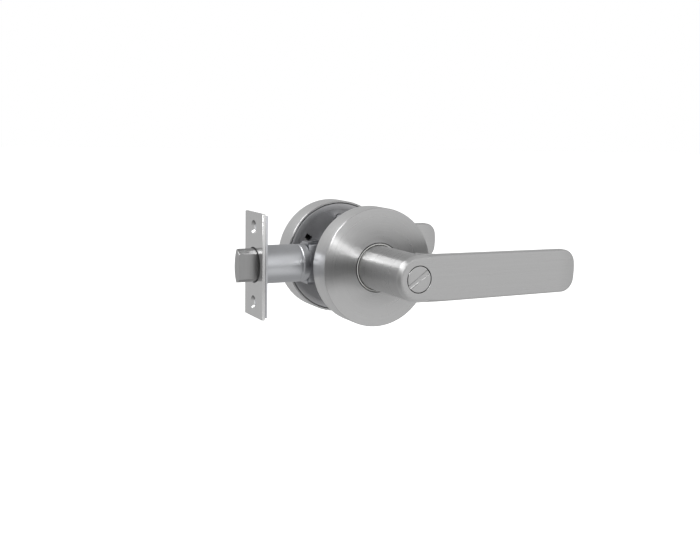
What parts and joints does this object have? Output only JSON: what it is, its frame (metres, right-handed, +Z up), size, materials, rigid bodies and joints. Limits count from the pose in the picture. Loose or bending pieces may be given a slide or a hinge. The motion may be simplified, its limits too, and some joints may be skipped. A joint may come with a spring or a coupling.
{
  "type": "door lever handle",
  "caption": "Privacy lever set for a 35 mm door: round roses, flat bar levers, coin release, turn button and tubular spring latch.",
  "frame": {"origin": "on the spindle's axis, at the door's outside face", "axes": "+X along the levers to their tips, +Y through the door to the inside, +Z up"},
  "size_m": [0.1711, 0.158, 0.065],
  "materials": {
    "satin_stainless": "brushed satin stainless steel",
    "zinc_plate": "bright zinc-plated steel",
    "spring_steel": "oiled spring steel",
    "die_casting": "plain zinc die casting",
    "acetal": "natural acetal",
    "latch_steel": "satin nickel-plated bolt"
  },
  "bodies": {
    "door_set": {"outside_rose_cover": "satin_stainless", "inside_rose_cover": "satin_stainless", "latch_faceplate": "satin_stainless", "outside_neck_bush": "acetal", "inside_neck_bush": "acetal", "outside_chassis": "die_casting", "inside_chassis": "die_casting", "outside_return_spring": "spring_steel", "inside_return_spring": "spring_steel", "latch_spring": "spring_steel", "outside_post_upper": "zinc_plate", "outside_post_lower": "zinc_plate", "through_bolt_upper": "zinc_plate", "through_bolt_lower": "zinc_plate", "latch_backplate": "zinc_plate", "latch_tube": "zinc_plate", "latch_case_outside": "zinc_plate", "latch_case_inside": "zinc_plate", "latch_case_rivet_upper": "zinc_plate", "latch_case_rivet_lower": "zinc_plate"},
    "levers": {"outside_lever": "satin_stainless", "inside_lever": "satin_stainless", "spindle": "zinc_plate", "outside_spring_driver": "zinc_plate", "inside_spring_driver": "zinc_plate", "outside_retaining_ring": "spring_steel", "inside_retaining_ring": "spring_steel", "outside_grub_screw": "zinc_plate", "inside_grub_screw": "zinc_plate", "latch_hub": "zinc_plate"},
    "bolt": {"latch_bolt": "latch_steel", "latch_drawbar": "zinc_plate"},
    "privacy_turn": {"turn_rod": "zinc_plate", "release_disc": "satin_stainless", "turn_button": "satin_stainless"},
    "lock_pin": {"lock_pin": "zinc_plate"}
  },
  "joints": [
    {"name": "lever_turn", "type": "hinge", "parent": "door_set", "child": "levers", "pos_m": [0, 0, 0], "axis": [0, 1, 0], "range_deg": [0, 58], "stiffness_Nm_per_rad": 0.9, "springref_deg": -34.38, "deforming": ["outside_return_spring", "inside_return_spring", "latch_spring"]},
    {"name": "bolt_slide", "type": "slide", "parent": "door_set", "child": "bolt", "axis": [1, 0, 0], "range_m": [0, 0.0123]},
    {"name": "privacy_turn", "type": "hinge", "parent": "levers", "child": "privacy_turn", "pos_m": [0, 0, 0], "axis": [0, 1, 0], "range_deg": [0, 90]},
    {"name": "lock_pin_slide", "type": "slide", "parent": "levers", "child": "lock_pin", "axis": [0, 0, 1], "range_m": [0, 0.00101]}
  ],
  "couplings": [
    {"joint": "bolt_slide", "follows": "lever_turn", "m_per_rad": 0.012042},
    {"joint": "lock_pin_slide", "follows": "privacy_turn", "m_per_rad": 0.0006366}
  ]
}
